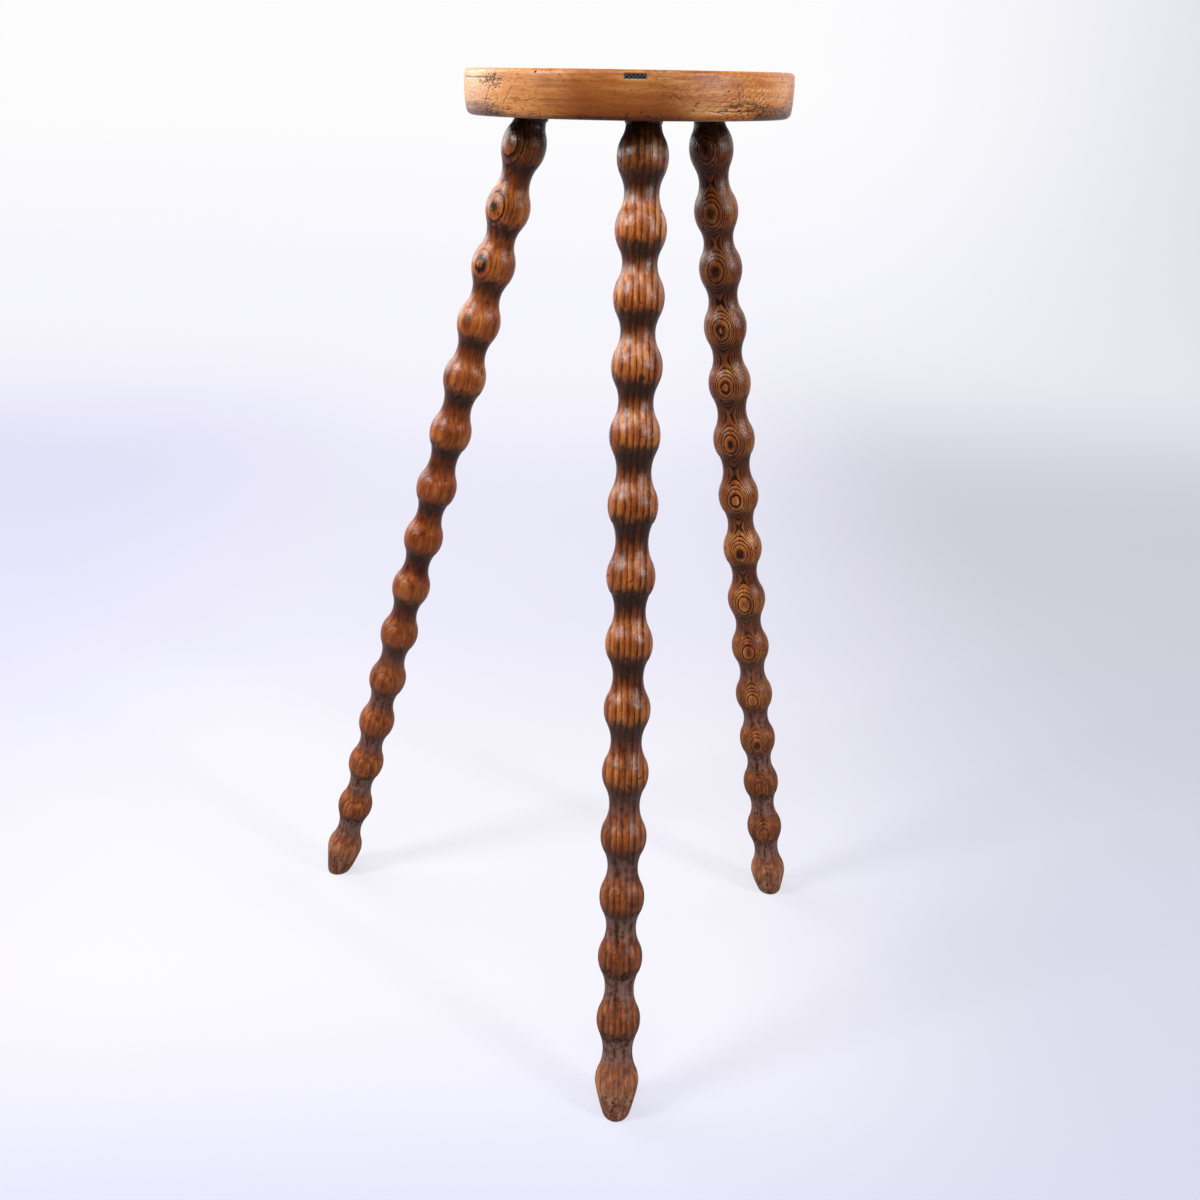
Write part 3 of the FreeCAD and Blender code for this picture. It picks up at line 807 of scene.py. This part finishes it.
# %% Patterns of the board
def board_patterns(tree):
    """The values kept at the points of the seat, and the noises that its finish is mixed from."""
    place = add(tree, "Attribute", out="Vector", attribute_name="board_place")
    across, _, height = add(tree, "SeparateXYZ", {0: place}).node.outputs
    pattern = {"place": place, "across": across, "height": height}
    for label in ("scar", "slot"):
        pattern[label] = add(tree, "Attribute", out="Fac", attribute_name=label)

    # Pores are 0.2 mm wide. They are drawn 1 mm wide and 14 mm long, so that they show.
    grain = add(tree, "Attribute", out="Vector", attribute_name="grain_place")
    along = add(tree, "Mapping", {"Vector": grain, "Scale": (0.07, 1, 1)})
    for label, where, size_mm, detail, roughness in (
        ("fibres", along, 1.0, 3, 0.65), ("bands", along, 3, 3, 0.5), ("clouds", place, 40, 3, 0.5),
        ("blots", place, 5, 5, 0.7), ("specks", place, 1.4, 2, 0.5),
    ):
        pattern[label] = add(tree, "TexNoise", {
            "Vector": where, "Scale": 1 / (size_mm * MM), "Detail": detail, "Roughness": roughness,
        })
    return pattern


# %% [markdown]
# Under the stain lie the growth rings, about the tree's heart, which lay below the board and
# behind its middle. The stain took in bands and clouds, so the board runs from brown to honey.

# %% Stained ground of the board
def stained_board(tree, pattern):
    """The colour of the board with its rings, before any dirt or wear."""
    place = pattern["place"]
    cross_cut = add(tree, "Mapping", {"Vector": place, "Scale": (0, 1, 1), "Location": (0, -40 * MM, 90 * MM)})
    from_heart = add(tree, "VectorMath", {0: cross_cut}, out="Value", operation="LENGTH")
    along_log = add(tree, "Mapping", {"Vector": place, "Scale": (0.3, 1, 1)})
    wander = add(tree, "TexNoise", {"Vector": along_log, "Scale": 1 / (60 * MM), "Detail": 2})
    even = add(tree, "Math", {0: from_heart, 1: 1 / (3.2 * MM)}, operation="MULTIPLY")
    years = add(tree, "Math", {0: wander, 1: 5, 2: even}, operation="MULTIPLY_ADD")
    within = add(tree, "Math", {0: years}, operation="FRACT")
    ring = add(tree, "ValToRGB", {"Fac": within},
               stops=((0, 0.6), (1, 0.8), (0.12, 0.0), (0.6, 0.15), (0.92, 1.0)))
    tone = add(tree, "Math", {0: pattern["bands"], 1: 0.3}, operation="MULTIPLY")
    for label, share in (("clouds", 0.4), ("fibres", 0.3)):
        tone = add(tree, "Math", {0: pattern[label], 1: share, 2: tone}, operation="MULTIPLY_ADD")
    ground = add(tree, "ValToRGB", {"Fac": tone},
                 stops=((0.39, "#6e3512"), (0.6, "#dca063"), (0.45, "#a25a22"), (0.52, "#c27a38")))
    faint_ring = add(tree, "Math", {0: ring, 1: 0.3}, operation="MULTIPLY")
    return coats(tree, ground, ((faint_ring, "#84430f"),))


# %% [markdown]
# End grain drinks more stain and holds more dirt, so the two ends are darker low down, with grime
# drawn out along the grain.

# %% Grime at the ends of the board
def end_dirt(tree, pattern):
    """Specks of dirt and streaks of grime, most of them where the fibres are cut across."""
    far = add(tree, "Math", {0: pattern["across"]}, operation="ABSOLUTE")
    end = add(tree, "MapRange", {0: far, 1: 62 * MM, 2: 100 * MM, 3: 0, 4: 1})
    speckled = add(tree, "Math", {0: end, 1: 0.04, 2: pattern["specks"]}, operation="MULTIPLY_ADD")
    dirt = add(tree, "MapRange", {0: speckled, 1: 0.66, 2: 0.76, 3: 0, 4: 0.6}, **soft_fade)
    low = add(tree, "MapRange", {0: pattern["height"], 1: 20 * MM, 2: 2 * MM, 3: 0, 4: 0.42})
    gathered = add(tree, "Math", {0: pattern["bands"], 1: 0.3}, operation="MULTIPLY")
    for first, share in ((pattern["fibres"], 0.45), (pattern["blots"], 0.25), (low, end)):
        gathered = add(tree, "Math", {0: first, 1: share, 2: gathered}, operation="MULTIPLY_ADD")
    grime = add(tree, "MapRange", {0: gathered, 1: 0.66, 2: 0.86, 3: 0, 4: 0.85}, **soft_fade)
    return dirt, grime


# %% [markdown]
# The edge is painted darker in the middle of its front, most of all low down, as painted shade, and paler
# at its left end, as a painted highlight of the light on that side. Years of wax give the whole a soft sheen.

# %% Waxed board
def waxed_board(name):
    """A stained and waxed board with its grain along X: honey brown, with a soft sheen."""
    material, tree = new_material(name)
    pattern = board_patterns(tree)
    across, fibres, blots = pattern["across"], pattern["fibres"], pattern["blots"]
    dirt, grime = end_dirt(tree, pattern)
    # Painted highlight: the left end of the edge is painted paler, for the strong light and sheen from that
    # side.
    left_end_highlight = add(tree, "MapRange", {0: across, 1: -35 * MM, 2: -110 * MM, 3: 0, 4: 0.6})
    # Painted shade: the middle of the front of the edge is painted darker, most of all low down.
    lower_shade = add(tree, "MapRange", {0: pattern["height"], 1: 28 * MM, 2: 5 * MM, 3: 0.5, 4: 1})
    shifted = add(tree, "Math", {0: across, 1: 4 * MM}, operation="ADD")
    sideways = add(tree, "Math", {0: shifted}, operation="ABSOLUTE")
    middle = add(tree, "MapRange", {0: sideways, 1: 70 * MM, 2: 22 * MM, 3: 0.12, 4: 1}, **soft_fade)
    front_shade = add(tree, "Math", {0: lower_shade, 1: middle}, operation="MULTIPLY")
    pores = add(tree, "MapRange", {0: fibres, 1: 0.54, 2: 0.66, 3: 0, 4: 0.7})
    stain = add(tree, "MapRange", {0: blots, 1: 0.5, 2: 0.7, 3: 0, 4: 0.6}, **soft_fade)
    marked = add(tree, "MapRange", {0: pattern["scar"], 1: 0.05, 2: 0.7, 3: 0, 4: 0.88})
    colour = coats(tree, stained_board(tree, pattern), (
        (left_end_highlight, "#dca468"), (front_shade, "#6e3710"), (pores, "#5c2c0e"), (stain, "#7c3e10"),
        (dirt, "#3a1b0b"), (grime, "#401c0a"), (marked, "#260f07"), (pattern["slot"], "#151a22"),
    ))
    rough = add(tree, "MapRange", {0: blots, 1: 0.3, 2: 0.7, 3: 0.3, 4: 0.46})
    relief = add(tree, "Math", {0: pattern["specks"], 1: 0.4, 2: fibres}, operation="MULTIPLY_ADD")
    wax_over(tree, colour, rough, relief, 0.45, 0.2, 0.36)
    return material


board_finish = waxed_board("waxed_board")
seat.data.materials.append(board_finish)
print("The board's finish takes", len(board_finish.node_tree.nodes), "nodes")

# %% [markdown]
# ## The fastener
# The corrugated strip in the seat's edge is mild steel, rolled thin, driven in edge first and
# left to go dull. Its CAD solid has the right shape, so it only gets a better material.

# %% Dull mild steel
def dull_mild_steel(name):
    """Rolled mild steel, dulled by age: blue-grey, with darker patches where it has rusted."""
    material, tree = new_material(name)
    place = add(tree, "TexCoord", out="Object")
    patches = add(tree, "TexNoise", {"Vector": place, "Scale": 1 / (1.5 * MM), "Detail": 3})
    colour = coats(tree, linear("#2a323e"), ((patches, "#76828f"),))
    shader = add(tree, "BsdfPrincipled", {"Base Color": colour, "Metallic": 0.8, "Roughness": 0.5})
    add(tree, "OutputMaterial", {"Surface": shader})
    return material


fastener = frame["nodes"]["edge_fastener"]
fastener.data.materials.clear()
fastener.data.materials.append(dull_mild_steel("dull_mild_steel"))
print("The fastener is", round((fastener_high.x - fastener_low.x) / MM, 1), "mm long")

# %% [markdown]
# ## Floor, backdrop and light
# The stool stands on a pale paper sweep that curves up behind it, as in a photographer's studio. A
# curve has no corner, so the floor runs into the backdrop without a line.

# %% The sweep
half_width = 6.0
front_end = -6.0
bend_start = 2.4
bend_radius = 0.9
sweep_height = 5.0
sweep_profile = [(front_end, 0.0), (bend_start, 0.0)]
for degrees in range(6, 91, 6):
    angle = math.radians(degrees)
    forward, down = bend_radius * math.sin(angle), bend_radius * math.cos(angle)
    sweep_profile.append((bend_start + forward, bend_radius - down))
sweep_profile.append((bend_start + bend_radius, sweep_height))
corners = [(x, y, z) for y, z in sweep_profile for x in (-half_width, half_width)]
sweep_faces = [(k, k + 1, k + 3, k + 2) for k in range(0, len(corners) - 2, 2)]
sweep_mesh = bpy.data.meshes.new("studio_sweep")
sweep_mesh.from_pydata(corners, [], sweep_faces)
sweep_mesh.polygons.foreach_set("use_smooth", [True] * len(sweep_faces))
sweep = stand("studio_sweep", sweep_mesh)
print("The sweep has", len(sweep_faces), "faces")

# %% [markdown]
# The camera sees mostly the paper's own pale colour, with a share of real light on it, so that the
# feet keep their shadows. The paper is a little greyer to the right and lilac to the left, where
# less light reached it. Reflections see the whole of the bright paper behind the stool, but little
# of it in front, where a room is darker, and light that bounces off the floor is held back too.

# %% Matt pale paper
material, tree = new_material("matt_pale_paper")
spot = add(tree, "NewGeometry", out="Position")
spot_x, spot_y, spot_z = add(tree, "SeparateXYZ", {0: spot}).node.outputs
paper = linear("#f8f7ff")
for place, start, end, fade, fade_start, fade_end, web in (
    # where it starts and is full along one axis, where it fades along another, in metres
    (spot_y, 0.35, 0.85, spot_y, 2.8, 1.2, "#efedfc"),
    (spot_x, -0.35, -1.1, spot_y, 2.9, 1.0, "#e2dffa"),
    (spot_x, 0.12, 0.8, spot_y, 3.2, 1.1, "#d0d0db"),
    (spot_x, 0.6, 2.4, spot_y, 1.2, 3.2, "#e0e0ea"),
    (spot_y, 0.0, -0.45, spot_z, 1.0, 0.0, "#d2d1f1"),
    (spot_x, 0.1, 0.6, spot_y, 1.0, -0.4, "#d0d0e6"),
    (spot_z, 0.05, 0.8, spot_x, 2.2, 0.2, "#ffffff"),
):
    mask = add(tree, "MapRange", {0: place, 1: start, 2: end, 3: 0, 4: 1}, **soft_fade)
    faded = add(tree, "MapRange", {0: fade, 1: fade_start, 2: fade_end, 3: 0, 4: mask}, **soft_fade)
    paper = coats(tree, paper, ((faded, web),))
from_eye = add(tree, "LightPath", out="Is Camera Ray")
glossy_ray = add(tree, "LightPath", out="Is Glossy Ray")
behind = add(tree, "MapRange", {0: spot_y, 1: 0.1, 2: 1.6, 3: 0.06, 4: 1})
gloss_share = add(tree, "Math", {0: glossy_ray, 1: behind}, operation="MULTIPLY")
seen_share = add(tree, "MapRange", {0: spot_y, 1: 0.6, 2: 2.0, 3: 0.72, 4: 0.97})
eye_share = add(tree, "Math", {0: from_eye, 1: seen_share}, operation="MULTIPLY")
own_share = add(tree, "Math", {0: eye_share, 1: gloss_share}, operation="MAXIMUM")
lit_colour = coats(tree, linear("#77767c"), ((from_eye, "#c4c3cb"),))
lit = add(tree, "BsdfDiffuse", {"Color": lit_colour})
glow = add(tree, "Emission", {"Color": paper, "Strength": 1})
mixed = add(tree, "MixShader", {0: own_share, 1: lit, 2: glow})
add(tree, "OutputMaterial", {"Surface": mixed})
sweep.data.materials.append(material)
print("The paper's finish takes", len(tree.nodes), "nodes")

# %% [markdown]
# Past the sweep lies only air: as pale as the paper to the camera, and dim to everything else.

# %% The air of the studio
world = bpy.data.worlds.new("studio_air")
bpy.context.scene.world = world
world.use_nodes = True
tree = world.node_tree
background = tree.nodes["Background"]
from_eye = add(tree, "LightPath", out="Is Camera Ray")
strength = add(tree, "MapRange", {0: from_eye, 1: 0, 2: 1, 3: 0.1, 4: 1})
tree.links.new(strength, background.inputs["Strength"])
background.inputs["Color"].default_value = linear("#f4f3fd")
print("The air takes", len(tree.nodes), "nodes")

# %% [markdown]
# Three soft boxes hang above the viewer, to the left, to the right and overhead, so that the upper
# shoulder of every bead is bright and the lower one dark. A small one low on the right gives the
# seat's edge its sheen. Two broad ones stand a little behind the stool, and their light along its
# sides models the legs as round.

# %% Soft boxes
aim_height = 0.5


def soft_box(name, azimuth, height, distance, wide, tall, watts):
    """An oblong soft light that looks at the stool. Azimuth 0 is the viewer's right, -90 the viewer."""
    lamp = bpy.data.lights.new(name, "AREA")
    lamp.shape = "RECTANGLE"
    lamp.size = wide
    lamp.size_y = tall
    lamp.energy = watts
    holder = stand(name, lamp)
    angle = math.radians(azimuth)
    target = Vector((seat_middle.x, seat_middle.y, aim_height))
    away = Vector((distance * math.cos(angle), distance * math.sin(angle), height - aim_height))
    holder.location = target + away
    holder.rotation_euler = (target - holder.location).to_track_quat("-Z", "Y").to_euler()
    print(name, "stands", round(away.length, 2), "m from the stool")


for box in (
    # name, azimuth, height, distance, wide, tall, watts
    ("left_key_box", -152, 1.7, 1.7, 0.5, 0.9, 48),
    ("right_front_box", -37, 1.6, 1.8, 0.22, 1.3, 27),
    ("right_level_box", -29, 0.9, 1.8, 0.6, 0.5, 8),
    ("front_overhead_box", -90, 2.4, 1.1, 1.2, 0.9, 23),
    ("left_side_box", 152, 1.4, 1.9, 1.6, 1.4, 38),
    ("right_side_box", 30, 1.4, 2.0, 1.4, 1.4, 8),
):
    soft_box(*box)

# %% [markdown]
# ## The camera
# The camera stands a metre in front of the seat, level with its top, and looks down along the legs.
# It leans by about one degree, as a hand-held camera does.

# %% The camera
camera_away = 0.9927
camera_height = 0.7949
heading_degrees = 0.909
tilt_degrees = 66.59
lean_degrees = 0.908
camera_data = bpy.data.cameras.new("camera")
camera_data.lens = 36
camera_data.sensor_width = 36
camera = stand("camera", camera_data)
camera_place = Vector((seat_middle.x, seat_middle.y - camera_away, camera_height))
look = (
    Matrix.Rotation(math.radians(heading_degrees), 4, "Z")
    @ Matrix.Rotation(math.radians(tilt_degrees), 4, "X")
    @ Matrix.Rotation(math.radians(lean_degrees), 4, "Z")
)
camera.matrix_world = Matrix.Translation(camera_place) @ look
bpy.context.scene.camera = camera
bpy.context.scene.view_settings.view_transform = "Standard"
print("The camera looks down by", round(90 - tilt_degrees, 2), "degrees")
